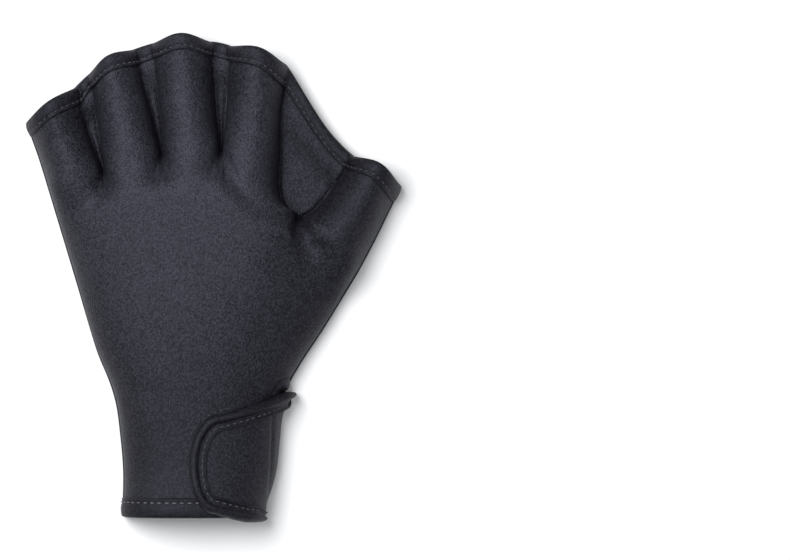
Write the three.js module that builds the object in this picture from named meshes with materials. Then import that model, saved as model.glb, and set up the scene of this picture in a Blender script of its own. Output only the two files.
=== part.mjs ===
// A webbed swim glove of soft neoprene, lying palm down with its closed wrist strap.
// Millimetres, +Z up. X runs from the little finger to the thumb, Y from the wrist to the finger ends.
import * as THREE from "three";

// Overall sizes of the two sheets
const handSpan = 168; // across the finger ends, little finger corner to thumb corner
const gloveLength = 215; // wrist edge to the middle finger's end
const wall = 2.5; // neoprene sheet
const gap = 0.3; // between two pieces that touch

// Heights above the palm sheet
const handHeight = 27;
const fingerHeight = 17;
const domeFullness = 2.35; // 2 is an ellipse, more is squarer

// Valleys between the fingers
const valleyWidth = 1.6;
const creaseReach = 19; // how far a valley runs down into the hand

// Tapes and hems
const tape = 0.7; // thickness of a folded tape
const bindingWidth = 6;
const hemWidth = 8;

// Wrist strap
const strapThickness = 2.5;
const strapLength = 40.5; // round end to the side of the wrist, seen from above
const strapWidth = 43;
const strapMiddle = 23; // height of its round end above the wrist edge
const strapBindingWidth = 4;

// The slit that the strap closes, between the two sheets
const slitOpening = 0.25; // share of the thumb side's last columns left out along it
const slitTop = 61; // height of the slit's end above the wrist edge
const slitFade = 0.4; // upper share of the slit over which it closes

// Numbers of facets
const sleeveSteps = 8;
const palmSteps = 4;
const handRows = 13;
const sleeveRows = 4;
const strapSteps = 14;
const strapRows = 4;

// Outline of the hand, wrist to finger roots: up in shares of gloveLength, across of handSpan
const littleSide = [
  { up: 0, across: -0.24 },
  { up: 0.093, across: -0.238 },
  { up: 0.181, across: -0.248 },
  { up: 0.232, across: -0.259 },
  { up: 0.282, across: -0.278 },
  { up: 0.333, across: -0.304 },
  { up: 0.4, across: -0.331 },
  { up: 0.472, across: -0.358 },
  { up: 0.571, across: -0.396 },
  { up: 0.682, across: -0.439 },
];
const thumbSide = [
  { up: 0, across: 0.113 },
  { up: 0.093, across: 0.143 },
  { up: 0.156, across: 0.152 },
  { up: 0.211, across: 0.161 },
  { up: 0.253, across: 0.185 },
  { up: 0.288, across: 0.21 },
  { up: 0.333, across: 0.245 },
  { up: 0.383, across: 0.288 },
  { up: 0.451, across: 0.342 },
  { up: 0.51, across: 0.388 },
];

// Finger roots: where each valley ends. across is a share of the hand's width there.
const roots = [
  { across: 0, up: 0.682 },
  { across: 0.175, up: 0.728 },
  { across: 0.368, up: 0.766 },
  { across: 0.56, up: 0.773 },
  { across: 0.817, up: 0.63 },
  { across: 1, up: 0.51 },
];

// Finger sleeves. left and right are the two side lines from root to mouth, [across, up] in shares
// of handSpan and gloveLength; the first point is the root itself. crown is the mouth's bulge as a
// share of its width, and mouth and root are heights in shares of fingerHeight.
const fingers = [
  {
    name: "little",
    left: [[-0.466, 0.75], [-0.498, 0.821]],
    right: [[-0.329, 0.802], [-0.361, 0.895]],
    crown: 0.07,
    mouth: 0.9,
    root: 1.15,
  },
  {
    name: "ring",
    left: [[-0.315, 0.819], [-0.331, 0.922]],
    right: [[-0.167, 0.861], [-0.207, 0.974]],
    crown: 0.12,
    mouth: 0.95,
    root: 1.3,
  },
  {
    name: "middle",
    left: [[-0.151, 0.882], [-0.162, 0.986]],
    right: [[0.011, 0.882], [0, 0.989]],
    crown: 0.15,
    mouth: 1,
    root: 1.35,
  },
  {
    name: "index",
    left: [[0.035, 0.882], [0.043, 0.981]],
    right: [[0.208, 0.632], [0.189, 0.654], [0.181, 0.683], [0.184, 0.75], [0.187, 0.84], [0.2, 0.941]],
    crown: 0.14,
    mouth: 1,
    root: 1.35,
  },
  {
    name: "thumb",
    left: [[0.261, 0.638], [0.287, 0.657], [0.326, 0.695], [0.37, 0.752]],
    right: [[0.431, 0.573], [0.468, 0.632], [0.503, 0.688]],
    crown: 0.14,
    mouth: 1.05,
    root: 1.3,
  },
];
const webSteps = [2, 2, 2, 4]; // facets across each web
const webCrown = [0.03, 0.02, 0.05, -0.035]; // bulge of each web's edge, share of its width
const webLean = [0, 0, 0, 0.9]; // how far that bulge leans towards the thumb
const bulgeFade = 1.4; // 1 gives each finger's mouth a round edge, more runs it softly into the webs

// Height of the hand's dome from wrist to finger roots, share of handHeight
const domeHeights = [
  { at: 0, height: 0.84 },
  { at: 0.25, height: 0.82 },
  { at: 0.55, height: 0.93 },
  { at: 0.8, height: 1 },
  { at: 1, height: 1 },
];

// Strap edges from the end of its round tip to the side: along is a share of strapLength, upper and
// lower are shares of half of strapWidth.
const strapEdges = [
  { along: 0.36, upper: 1, lower: 1 },
  { along: 0.575, upper: 1.11, lower: 1.1 },
  { along: 0.78, upper: 1.25, lower: 1.17 },
  { along: 0.91, upper: 1.36, lower: 1.18 },
  { along: 1, upper: 1.45, lower: 1.18 },
];
const tipStart = 0.004; // share of strapLength where the round tip begins, blunt by a few mm

// The hidden fastening, in shares of the strap's length and width
const hookPatch = { from: 0.26, to: 0.6, upper: 0.2, lower: 0.7, columns: 8, rows: 3 };

// Sizes worked out from those above
const palmTop = wall;
const tapeStack = gap + tape; // what a folded tape adds to one face
const hemRow = (hemWidth + tapeStack) / (roots[5].up * gloveLength);
const strapOffset = 3 * gap + 2 * tape; // strap above the back: hem tape, gap, strap tape, gap
const strapTip = sideAt(thumbSide, strapMiddle) + strapOffset + strapThickness - strapLength;

const mix = THREE.MathUtils.lerp;
const clamp = THREE.MathUtils.clamp;

// Smooth value of one column of a table at a place given in another, straight beyond its ends
function lookUp(rows, from, to, place) {
  const last = rows.length - 1;
  const slope = (a, b) => (rows[b][to] - rows[a][to]) / (rows[b][from] - rows[a][from]);
  if (place <= rows[0][from]) return rows[0][to] + slope(0, 1) * (place - rows[0][from]);
  if (place >= rows[last][from]) return rows[last][to] + slope(last - 1, last) * (place - rows[last][from]);
  let i = 0;
  while (place > rows[i + 1][from]) i += 1;
  const step = rows[i + 1][from] - rows[i][from];
  const t = (place - rows[i][from]) / step;
  const startSlope = slope(Math.max(i - 1, 0), i + 1) * step;
  const endSlope = slope(i, Math.min(i + 2, last)) * step;
  const a = rows[i][to];
  const b = rows[i + 1][to];
  const bend = startSlope * t * (1 - t) * (1 - t) - endSlope * t * t * (1 - t);
  return a + (b - a) * t * t * (3 - 2 * t) + bend;
}

// X of an outline at height y
function sideAt(side, y) {
  return lookUp(side, "up", "across", y / gloveLength) * handSpan;
}

// Height of the line through the finger roots, straight between them
function rootHeight(across) {
  let i = 0;
  while (i < roots.length - 2 && across > roots[i + 1].across) i += 1;
  const t = (across - roots[i].across) / (roots[i + 1].across - roots[i].across);
  return mix(roots[i].up, roots[i + 1].up, t) * gloveLength;
}

// A place in the hand seen from above: across from 0 to 1, rise from 0 at the wrist to 1 at the roots
function handPlace(across, rise) {
  const left = sideAt(littleSide, rise * rootHeight(0));
  const right = sideAt(thumbSide, rise * rootHeight(1));
  return new THREE.Vector2(mix(left, right, across), rise * rootHeight(across));
}

// The hand's dome above the palm sheet; depth is measured inwards from its outer face
function domeAt(across, rise, depth) {
  const height = lookUp(domeHeights, "at", "height", rise) * handHeight;
  const side = Math.abs(2 * clamp(across, 0, 1) - 1);
  return (height - depth) * Math.pow(1 - Math.pow(side, domeFullness), 1 / domeFullness);
}

// Rows of both sheets. rise runs in the hand, reach in the sleeves; edge rows carry a folded tape.
function makeRows() {
  const rows = [
    { rise: 0, edge: 1 },
    { rise: hemRow, edge: 1 },
  ];
  const crowding = 1.5; // rows lie closer together towards the finger roots
  for (let i = handRows; i >= 0; i -= 1) {
    rows.push({ rise: 1 - (1 - 2 * hemRow) * Math.pow(i / handRows, crowding), edge: 0 });
  }
  for (let i = 1; i < sleeveRows; i += 1) rows.push({ rise: 1, reach: i / (sleeveRows - 1), edge: 0 });
  rows[rows.length - 1].edge = 1;
  rows.push({ rise: 1, mouth: true, edge: 1 });
  return rows;
}
const rows = makeRows();

// Side lines of each finger from its root to its mouth
const sideLines = fingers.map((finger, i) => {
  const line = (start, shares) => {
    const root = handPlace(roots[start].across, 1);
    return new THREE.SplineCurve([
      root,
      ...shares.map(([across, up]) => new THREE.Vector2(across * handSpan, up * gloveLength)),
    ]);
  };
  const left = line(i, finger.left);
  const right = line(i + 1, finger.right);
  return { left, right, length: Math.min(left.getLength(), right.getLength()) };
});

// The two sides of finger i on a row, seen from above
function sidesOf(i, row) {
  if (!row.reach && !row.mouth) {
    return [handPlace(roots[i].across, row.rise), handPlace(roots[i + 1].across, row.rise)];
  }
  const lines = sideLines[i];
  const bound = 1 - (bindingWidth + 2 * tapeStack) / lines.length;
  const t = row.mouth ? 1 : row.reach * bound;
  return [lines.left.getPointAt(t), lines.right.getPointAt(t)];
}

// How far the dome has taken over from the separate fingers, 0 at the roots to 1 in the hand
function blendAt(across, row) {
  if (row.rise >= 1) return 0;
  const below = ((1 - row.rise) * rootHeight(across)) / creaseReach;
  return Math.sin((clamp(below, 0, 1) * Math.PI) / 2);
}

// Facet spacing across a finger: even round its arch at the mouth, wider apart inside the hand
function spacing(i, s, blend) {
  const arch = (1 - Math.cos(Math.PI * s)) / 2;
  let hand = s;
  if (i === 0) hand = 1 - Math.cos((Math.PI * s) / 2);
  if (i === fingers.length - 1) hand = Math.sin((Math.PI * s) / 2);
  return mix(arch, hand, blend);
}

// Share of the slit that is open on a row, closed again above the strap
function slitAt(row) {
  const y = row.rise * rootHeight(1);
  return clamp((slitTop - y) / (slitFade * slitTop), 0, 1);
}

// The plan of finger i on a row: its two feet for a sheet face at the given depth, and the feet's
// shares of the hand's width
function feetOf(i, row, depth) {
  const [left, right] = sidesOf(i, row);
  const width = right.distanceTo(left);
  const valley = (across) => valleyWidth / 2 + depth * (1 - blendAt(across, row));
  const shares = [roots[i].across, roots[i + 1].across];
  const insets = [i > 0 ? valley(shares[0]) : depth, i < 4 ? valley(shares[1]) : depth];
  const a = left.clone().lerp(right, insets[0] / width);
  const b = right.clone().lerp(left, insets[1] / width);
  const low = i > 0 ? mix(shares[0], shares[1], insets[0] / width) : 0;
  const high = i < 4 ? mix(shares[1], shares[0], insets[1] / width) : 1;
  return [a, b, low, high];
}

// How far a row has come from the roots to the mouth
function mouthShare(row) {
  if (row.mouth) return 1;
  return row.reach ? row.reach * 0.8 : 0;
}

// Bulge of a finger's edge on a row, as a share of its width
function fingerBulge(finger, row, s) {
  return fingers[finger].crown * mouthShare(row) * Math.pow(Math.sin(Math.PI * clamp(s, 0, 1)), bulgeFade);
}

// Bulge of a web's edge on a row, as a share of its width
function webBulge(web, row, s) {
  const lean = 1 + webLean[web] * (2 * s - 1);
  return webCrown[web] * mouthShare(row) * 4 * s * (1 - s) * lean;
}

// A point of the back sheet. depth is 0 on its outer face and wall on its inner face.
function backPoint(column, row, depth) {
  const { finger, web, s } = column;
  const foot = palmTop + gap + row.edge * tapeStack;
  const lift = row.edge * tapeStack;
  if (web !== undefined) {
    const [, from, , low] = feetOf(web, row, depth);
    const [to, , high] = feetOf(web + 1, row, depth);
    const place = from.clone().lerp(to, s);
    const out = new THREE.Vector2(from.y - to.y, to.x - from.x);
    place.addScaledVector(out, webBulge(web, row, s));
    const flat = wall - depth + row.edge * tapeStack;
    const dome = domeAt(mix(low, high, s), row.rise, depth);
    const height = mix(flat, dome, blendAt(roots[web + 1].across, row));
    return new THREE.Vector3(place.x, place.y, foot + lift + height);
  }
  const shape = fingers[finger];
  const [a, b, low, high] = feetOf(finger, row, depth);
  const blend = blendAt(mix(roots[finger].across, roots[finger + 1].across, s), row);
  const open = finger === 4 ? 1 - slitOpening * slitAt(row) : 1;
  const q = spacing(finger, s * open, blend);
  const place = a.clone().lerp(b, q);
  const out = new THREE.Vector2(a.y - b.y, b.x - a.x);
  place.addScaledVector(out, fingerBulge(finger, row, q));
  const sideBase = (valley) => (valley ? wall - depth + row.edge * tapeStack : 0);
  const base = mix(sideBase(finger > 0), sideBase(finger < 4), s);
  const crown = mix(shape.root, shape.mouth, mouthShare(row)) * fingerHeight - depth;
  const arch = mix(base, crown, Math.sin(Math.PI * s * open));
  const height = mix(arch, domeAt(mix(low, high, q), row.rise, depth), blend);
  return new THREE.Vector3(place.x, place.y, foot + lift + height);
}

// A point of the palm sheet. depth is 0 on its upper face and wall on its lower face.
function palmPoint(column, row, depth) {
  const { finger, web, s } = column;
  let place;
  if (web !== undefined) {
    const [, from] = feetOf(web, row, 0);
    const [to] = feetOf(web + 1, row, 0);
    const out = new THREE.Vector2(from.y - to.y, to.x - from.x);
    place = from.lerp(to, s).addScaledVector(out, webBulge(web, row, s));
  } else {
    const [a, b] = feetOf(finger, row, 0);
    const out = new THREE.Vector2(a.y - b.y, b.x - a.x);
    place = a.lerp(b, s).addScaledVector(out, fingerBulge(finger, row, s));
    if (finger === 4) place.x += (strapOffset - gap) * slitAt(row) * s;
  }
  return new THREE.Vector3(place.x, place.y, palmTop - depth + row.edge * tapeStack);
}

// Columns across a sheet: steps facets in each finger, and those of the webs between
function makeColumns(steps) {
  const columns = [];
  fingers.forEach((finger, i) => {
    for (let k = 0; k <= steps; k += 1) columns.push({ finger: i, s: k / steps });
    if (i === fingers.length - 1) return;
    for (let k = 1; k < webSteps[i]; k += 1) columns.push({ web: i, s: k / webSteps[i] });
  });
  return columns;
}

// A mesh geometry from flat lists, turned so that its faces point out
function closedGeometry(points, triangles) {
  let volume = 0;
  for (const [a, b, c] of triangles) {
    volume += points[a].dot(points[b].clone().cross(points[c]));
  }
  const order = volume < 0 ? triangles.map(([a, b, c]) => [a, c, b]) : triangles;
  const geometry = new THREE.BufferGeometry().setFromPoints(points);
  geometry.setIndex(order.flat());
  geometry.computeVertexNormals();
  return geometry;
}

// A sheet between two grids of points of the same layout, closed all round its edge
function sheet(outer, inner) {
  const across = outer[0].length;
  const points = [...outer.flat(), ...inner.flat()];
  const half = outer.length * across;
  const at = (r, c) => r * across + c;
  const triangles = [];
  const quad = (a, b, c, d) => triangles.push([a, b, c], [a, c, d]);
  for (let r = 0; r + 1 < outer.length; r += 1) {
    for (let c = 0; c + 1 < across; c += 1) {
      quad(at(r, c), at(r, c + 1), at(r + 1, c + 1), at(r + 1, c));
      quad(half + at(r, c), half + at(r + 1, c), half + at(r + 1, c + 1), half + at(r, c + 1));
    }
  }
  const rim = [];
  for (let c = 0; c < across; c += 1) rim.push(at(0, c));
  for (let r = 1; r < outer.length; r += 1) rim.push(at(r, across - 1));
  for (let c = across - 2; c >= 0; c -= 1) rim.push(at(outer.length - 1, c));
  for (let r = outer.length - 2; r > 0; r -= 1) rim.push(at(r, 0));
  rim.forEach((a, i) => {
    const b = rim[(i + 1) % rim.length];
    quad(a, half + a, half + b, b);
  });
  return closedGeometry(points, triangles);
}

// A folded tape: like sections joined one after another, with its two ends capped
function sweep(sections, flat) {
  const around = flat.length;
  const points = sections.flat();
  const triangles = [];
  for (let i = 0; i + 1 < sections.length; i += 1) {
    for (let k = 0; k < around; k += 1) {
      const a = i * around + k;
      const b = i * around + ((k + 1) % around);
      triangles.push([a, b, b + around], [a, b + around, a + around]);
    }
  }
  const start = THREE.ShapeUtils.isClockWise(flat);
  const cap = THREE.ShapeUtils.triangulateShape(flat, []);
  const end = (sections.length - 1) * around;
  for (const [a, b, c] of cap) {
    triangles.push(start ? [a, b, c] : [a, c, b]);
    triangles.push(start ? [end + a, end + c, end + b] : [end + a, end + b, end + c]);
  }
  return closedGeometry(points, triangles);
}

// Section of a tape folded over the edge of a sheet: x runs into the sheet, y from its outer face down
function foldedTape(width, thickness) {
  const top = -tapeStack;
  const bottom = thickness + tapeStack;
  return [
    new THREE.Vector2(width, top),
    new THREE.Vector2(0, top),
    new THREE.Vector2(-tapeStack, 0),
    new THREE.Vector2(-tapeStack, thickness),
    new THREE.Vector2(0, bottom),
    new THREE.Vector2(width, bottom),
    new THREE.Vector2(width, thickness + gap),
    new THREE.Vector2(-gap, thickness + gap),
    new THREE.Vector2(-gap, -gap),
    new THREE.Vector2(width, -gap),
  ];
}

// A tape folded over a sheet's edge row, its legs lying along the sheet towards the next row
function edgeTape(pointOf, columns, edgeRow, nextRow, width) {
  const flat = foldedTape(width, wall);
  const sections = columns.map((column) =>
    flat.map(({ x, y }) => {
      const edge = pointOf(column, edgeRow, y);
      const inward = pointOf(column, nextRow, y).sub(edge).normalize();
      return edge.addScaledVector(inward, x);
    }),
  );
  return sweep(sections, flat);
}

// A point over the back of the wrist at a place seen from above, depth below the back's outer face
function cuffPoint(x, y, depth) {
  let across = 0.8;
  let rise = 0;
  for (let i = 0; i < 8; i += 1) {
    rise = y / rootHeight(across);
    const left = sideAt(littleSide, rise * rootHeight(0));
    const right = sideAt(thumbSide, rise * rootHeight(1));
    across = clamp((x - left) / (right - left), 0, 1);
  }
  const left = sideAt(littleSide, rise * rootHeight(0)) + depth;
  const right = sideAt(thumbSide, rise * rootHeight(1)) - depth;
  const lift = clamp(2 - rise / hemRow, 0, 1) * 2 * tapeStack;
  return new THREE.Vector3(mix(left, right, across), y, palmTop + gap + lift + domeAt(across, rise, depth));
}

// Height of the strap's two edges at a share of its length, from its round tip to the side
function strapEdgesAt(along) {
  const shoulder = strapEdges[0].along;
  if (along >= shoulder) {
    const upper = lookUp(strapEdges, "along", "upper", along);
    const lower = lookUp(strapEdges, "along", "lower", along);
    return [strapMiddle + (upper * strapWidth) / 2, strapMiddle - (lower * strapWidth) / 2];
  }
  const back = 1 - along / shoulder;
  const half = (Math.sqrt(1 - back * back) * strapWidth) / 2;
  return [strapMiddle + half, strapMiddle - half];
}

// A point over the back of the wrist, placed along the strap and at height y
function overCuff(along, y, depth) {
  return cuffPoint(mix(strapTip, sideAt(thumbSide, y), along), y, depth);
}

// A point of the strap's sheet: across runs from its upper edge to its lower edge
function strapPoint(along, across, depth) {
  const [upper, lower] = strapEdgesAt(along);
  return overCuff(along, mix(upper, lower, across), depth);
}

// Places along the strap, closer together round its tip and down the side of the wrist
const strapPlaces = Array.from({ length: strapSteps + 1 }, (_, k) =>
  mix(tipStart, 1, (1 - Math.cos((Math.PI * k) / strapSteps)) / 2),
);
const widest = strapEdges[strapEdges.length - 1];
const strapRim = (strapBindingWidth + gap) / (((widest.upper + widest.lower) * strapWidth) / 2);
const strapAcross = Array.from({ length: strapRows + 1 }, (_, k) => mix(strapRim, 1 - strapRim, k / strapRows));
strapAcross.unshift(0);
strapAcross.push(1);

// The strap's sheet, which ends at the floor beside the edge of the palm sheet
function strapFace(depth) {
  const face = strapPlaces.map((along) => strapAcross.map((across) => strapPoint(along, across, depth)));
  const foot = face[face.length - 1].map((point) => new THREE.Vector3(point.x, point.y, 0));
  return [...face, foot];
}

// Direction into the strap from its edge, as lengths along it and up
function strapInward(along, across) {
  const shoulder = strapEdges[0].along;
  const back = Math.max(1 - along / shoulder, 0);
  const side = Math.sqrt(1 - back * back);
  const upward = (side * (2 * across - 1)) / (strapWidth / 2);
  return new THREE.Vector2(back / (shoulder * strapLength), upward).normalize();
}

// The tape round the strap's free edge, from the slit round the tip to the lower corner
function strapTape() {
  const edge = [];
  for (let k = strapSteps - 1; k > 0; k -= 1) edge.push([strapPlaces[k], 0]);
  for (const across of strapAcross) edge.push([strapPlaces[0], across]);
  for (let k = 1; k < strapSteps; k += 1) edge.push([strapPlaces[k], 1]);
  const flat = foldedTape(strapBindingWidth, strapThickness);
  const sections = edge.map(([along, across]) => {
    const inward = strapInward(along, across);
    const [upper, lower] = strapEdgesAt(along);
    const height = mix(upper, lower, across);
    return flat.map(({ x, y }) =>
      overCuff(along + (inward.x * x) / strapLength, height + inward.y * x, y - strapOffset - strapThickness),
    );
  });
  return sweep(sections, flat);
}

function hookPatchFace(depth) {
  const face = [];
  for (let i = 0; i <= hookPatch.columns; i += 1) {
    const along = mix(hookPatch.from, hookPatch.to, i / hookPatch.columns);
    const line = [];
    for (let k = 0; k <= hookPatch.rows; k += 1) {
      line.push(strapPoint(along, mix(hookPatch.upper, hookPatch.lower, k / hookPatch.rows), depth));
    }
    face.push(line);
  }
  return face;
}

const backColumns = makeColumns(sleeveSteps);
const palmColumns = makeColumns(palmSteps);
const palmRows = rows.filter((row, i) => row.edge || row.reach || row.rise < 0.6 || i % 2 === 0);
const mouthRow = rows[rows.length - 1];
const boundRow = rows[rows.length - 2];
const grid = (pointOf, columns, some, depth) =>
  some.map((row) => columns.map((column) => pointOf(column, row, depth)));

// Finishes
const neoprene = new THREE.MeshStandardMaterial({ color: 0x35353b, roughness: 0.85, metalness: 0 });
const tapeFinish = new THREE.MeshStandardMaterial({ color: 0x28282d, roughness: 0.75, metalness: 0 });
const hookFinish = new THREE.MeshStandardMaterial({ color: 0x1c1c1f, roughness: 0.95, metalness: 0 });

const glove = new THREE.Group();
function add(name, geometry, finish) {
  const mesh = new THREE.Mesh(geometry, finish);
  mesh.name = name;
  glove.add(mesh);
}

add(
  "palm_panel",
  sheet(grid(palmPoint, palmColumns, palmRows, 0), grid(palmPoint, palmColumns, palmRows, wall)),
  neoprene,
);
add(
  "back_panel",
  sheet(grid(backPoint, backColumns, rows, 0), grid(backPoint, backColumns, rows, wall)),
  neoprene,
);
add("palm_edge_binding", edgeTape(palmPoint, palmColumns, mouthRow, boundRow, bindingWidth), tapeFinish);
add("back_edge_binding", edgeTape(backPoint, backColumns, mouthRow, boundRow, bindingWidth), tapeFinish);
add("cuff_hem_palm", edgeTape(palmPoint, palmColumns, rows[0], rows[1], hemWidth), tapeFinish);
add("cuff_hem_back", edgeTape(backPoint, backColumns, rows[0], rows[1], hemWidth), tapeFinish);
add("wrist_strap", sheet(strapFace(-strapOffset - strapThickness), strapFace(-strapOffset)), neoprene);
add("strap_binding", strapTape(), tapeFinish);
add("hook_patch", sheet(hookPatchFace(gap - strapOffset), hookPatchFace(-gap)), hookFinish);

// The origin is at the middle of the underside
const box = new THREE.Box3().setFromObject(glove);
glove.position.set(-(box.min.x + box.max.x) / 2, -(box.min.y + box.max.y) / 2, -box.min.z);

export default glove;
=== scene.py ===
# A webbed swim glove of soft neoprene, lying palm down with its closed wrist strap.
# Sizes are in millimetres in the tables and functions, and meshes are made in metres.
import math

import bmesh
import bpy
import numpy as np
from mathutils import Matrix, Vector


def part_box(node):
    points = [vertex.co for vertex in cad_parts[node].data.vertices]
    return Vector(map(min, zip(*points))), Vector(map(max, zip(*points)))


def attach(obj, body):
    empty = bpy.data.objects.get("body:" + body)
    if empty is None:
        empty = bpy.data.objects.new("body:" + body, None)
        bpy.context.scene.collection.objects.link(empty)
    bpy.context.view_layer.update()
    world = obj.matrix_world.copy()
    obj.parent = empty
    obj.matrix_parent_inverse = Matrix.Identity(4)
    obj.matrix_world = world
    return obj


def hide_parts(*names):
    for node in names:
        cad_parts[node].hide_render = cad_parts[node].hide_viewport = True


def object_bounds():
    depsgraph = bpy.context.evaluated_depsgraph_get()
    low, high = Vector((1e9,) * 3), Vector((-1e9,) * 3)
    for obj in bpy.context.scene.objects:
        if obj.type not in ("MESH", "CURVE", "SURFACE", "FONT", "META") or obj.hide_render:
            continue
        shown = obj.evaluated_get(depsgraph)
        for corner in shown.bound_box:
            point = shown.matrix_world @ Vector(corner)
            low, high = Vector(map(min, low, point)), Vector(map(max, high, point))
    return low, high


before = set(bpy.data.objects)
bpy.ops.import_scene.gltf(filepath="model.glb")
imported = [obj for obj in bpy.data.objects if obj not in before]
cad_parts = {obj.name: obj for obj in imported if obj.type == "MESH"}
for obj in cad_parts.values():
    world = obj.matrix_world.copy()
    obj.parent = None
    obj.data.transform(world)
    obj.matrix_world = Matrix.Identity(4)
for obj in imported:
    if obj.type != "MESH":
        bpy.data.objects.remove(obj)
cad_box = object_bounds()
MM = 0.001
rng = np.random.default_rng(11)

# Overall sizes of the two sheets
HAND_SPAN = 168.0
GLOVE_LENGTH = 215.0
WALL = 2.5
GAP = 0.3

# Heights above the palm sheet, how square the dome is, the valleys between the fingers, and how
# far each root's crease runs down into the hand, from the little finger's side to the thumb's
HAND_HEIGHT = 27.0
FINGER_HEIGHT = 17.0
DOME_FULLNESS = 2.35
VALLEY_WIDTH = 1.6
CREASE_REACHES = [19.0, 19.0, 19.0, 19.0, 9.0, 19.0]

# Tapes, hems, the strap, and the slit in the thumb side, whose opening and fade are shares
TAPE = 0.7
BINDING_WIDTH = 6.0
HEM_WIDTH = 8.0
TAPE_STACK = GAP + TAPE
STRAP_THICKNESS = 2.5
STRAP_LENGTH = 40.5
STRAP_WIDTH = 43.0
STRAP_MIDDLE = 23.0
STRAP_TUCK = 2.0
STRAP_OFFSET = 3 * GAP + 2 * TAPE
SLIT_OPENING = 0.25
SLIT_TOP = 61.0
SLIT_FADE = 0.4
MOUTH_ZONE = BINDING_WIDTH + 2 * TAPE_STACK
EDGE_ROUND = 0.7
BACK_FOOT = WALL + EDGE_ROUND

# Rows near the wrist are spaced as if every finger root were this high
MEAN_ROOT = 150.0

# Out along a sleeve, as shares of the way to its binding: where the sheet starts to rise for the
# binding, and how much of the mouth's bulge is reached at it
RISE_START = 0.62
BULGE_AT_BINDING = 0.8

# Outline of the hand from wrist to finger roots: up the glove, across it, as shares
LITTLE_SIDE = np.array([
    (0, -0.24), (0.093, -0.238), (0.181, -0.248), (0.232, -0.257), (0.282, -0.276),
    (0.333, -0.304), (0.4, -0.331), (0.472, -0.358), (0.571, -0.396), (0.682, -0.439),
])
THUMB_SIDE = np.array([
    (0, 0.113), (0.093, 0.143), (0.156, 0.152), (0.211, 0.161), (0.253, 0.185),
    (0.288, 0.21), (0.333, 0.245), (0.383, 0.288), (0.451, 0.342), (0.51, 0.388),
])

# Finger roots: across the hand, up the glove
ROOTS = np.array([(0, 0.682), (0.175, 0.728), (0.368, 0.766), (0.56, 0.773), (0.817, 0.63), (1, 0.51)])

# Each finger's two side lines from root to mouth, across and up as shares, its mouth's bulge as a
# share of its width, and its heights at mouth and root as shares of FINGER_HEIGHT
FINGERS = [
    dict(left=[(-0.466, 0.75), (-0.498, 0.821)], right=[(-0.329, 0.802), (-0.361, 0.895)],
         crown=0.055, mouth=0.9, root=1.15),
    dict(left=[(-0.315, 0.819), (-0.331, 0.922)], right=[(-0.167, 0.861), (-0.207, 0.974)],
         crown=0.12, mouth=0.95, root=1.3),
    dict(left=[(-0.151, 0.882), (-0.162, 0.986)], right=[(0.011, 0.882), (0, 0.989)],
         crown=0.15, mouth=1, root=1.35),
    dict(left=[(0.035, 0.882), (0.043, 0.981)],
         right=[(0.208, 0.632), (0.189, 0.654), (0.181, 0.683), (0.184, 0.75), (0.187, 0.84),
                (0.2, 0.941)],
         crown=0.125, mouth=1, root=1.35),
    dict(left=[(0.261, 0.638), (0.287, 0.657), (0.326, 0.695), (0.37, 0.752)],
         right=[(0.431, 0.573), (0.468, 0.632), (0.503, 0.688)],
         crown=0.14, mouth=1.05, root=1.3),
]

# Each web's bulge as a share of its width, and how far that leans towards the thumb
WEB_CROWN = [0.03, 0.02, 0.05, -0.035]
WEB_LEAN = [0, 0, 0, 0.9]

# How softly a finger's bulge runs out into its webs, and its arch into its feet at the binding
BULGE_FADE = 1.4
ARCH_FADE = 1.6

# The binding's lift beside the fingers' feet
RAISE_HEIGHT = 1.4
RAISE_REACH = 2.2

# How far the line over a finger sags towards the hand at its root, as a share of its width, and
# how far that reaches out along the sleeve and down the hand, as shares of them
ROOT_SAG = [0, 0, 0, 0.16, 0]
SAG_OUT = 0.35
SAG_IN = 0.2

# The share of a finger's width on each side where its foot follows the valley beside it, and the
# power of the arch at its root, which is fuller the smaller it is
FOOT_SHARE = 0.14
ROOT_FULLNESS = 0.6

# Sewn grooves along the feet of the fingers
GROOVE_DEPTH = 1.5
GROOVE_WIDTH = 0.9

# The hand's dome from wrist to finger roots: place, share of HAND_HEIGHT
DOME_HEIGHTS = np.array([(0, 0.84), (0.25, 0.82), (0.55, 0.93), (0.8, 1), (1, 1)])

# Strap edges beyond its round tip: along the strap, upper and lower as shares of half its width
STRAP_EDGES = np.array([
    (0.36, 1.04, 1), (0.575, 1.16, 1.1), (0.78, 1.3, 1.18), (0.91, 1.41, 1.2), (1, 1.49, 1.21),
])


def mix(a, b, t):
    return a + (b - a) * t


def smooth(low, high, value):
    t = np.clip((value - low) / (high - low), 0, 1)
    return t * t * (3 - 2 * t)


def look_up(rows, column, place):
    """A smooth curve through one column of a table, straight beyond its ends."""
    x, y = rows[:, 0], rows[:, column]
    last = len(x) - 1
    place = np.asarray(place, float)
    i = np.clip(np.searchsorted(x, place, side="right") - 1, 0, last - 1)
    before = np.maximum(np.arange(last + 1) - 1, 0)
    after = np.minimum(np.arange(last + 1) + 1, last)
    slopes = (y[after] - y[before]) / (x[after] - x[before])
    step = x[i + 1] - x[i]
    t = np.clip((place - x[i]) / step, 0, 1)
    bend = slopes[i] * step * t * (1 - t) ** 2 - slopes[i + 1] * step * t * t * (1 - t)
    value = y[i] + (y[i + 1] - y[i]) * t * t * (3 - 2 * t) + bend
    value = np.where(place < x[0], y[0] + slopes[0] * (place - x[0]), value)
    return np.where(place > x[last], y[last] + slopes[last] * (place - x[last]), value)


def little_side(y):
    return look_up(LITTLE_SIDE, 1, y / GLOVE_LENGTH) * HAND_SPAN


def thumb_side(y):
    return look_up(THUMB_SIDE, 1, y / GLOVE_LENGTH) * HAND_SPAN


def root_height(across):
    return np.interp(across, ROOTS[:, 0], ROOTS[:, 1]) * GLOVE_LENGTH


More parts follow.
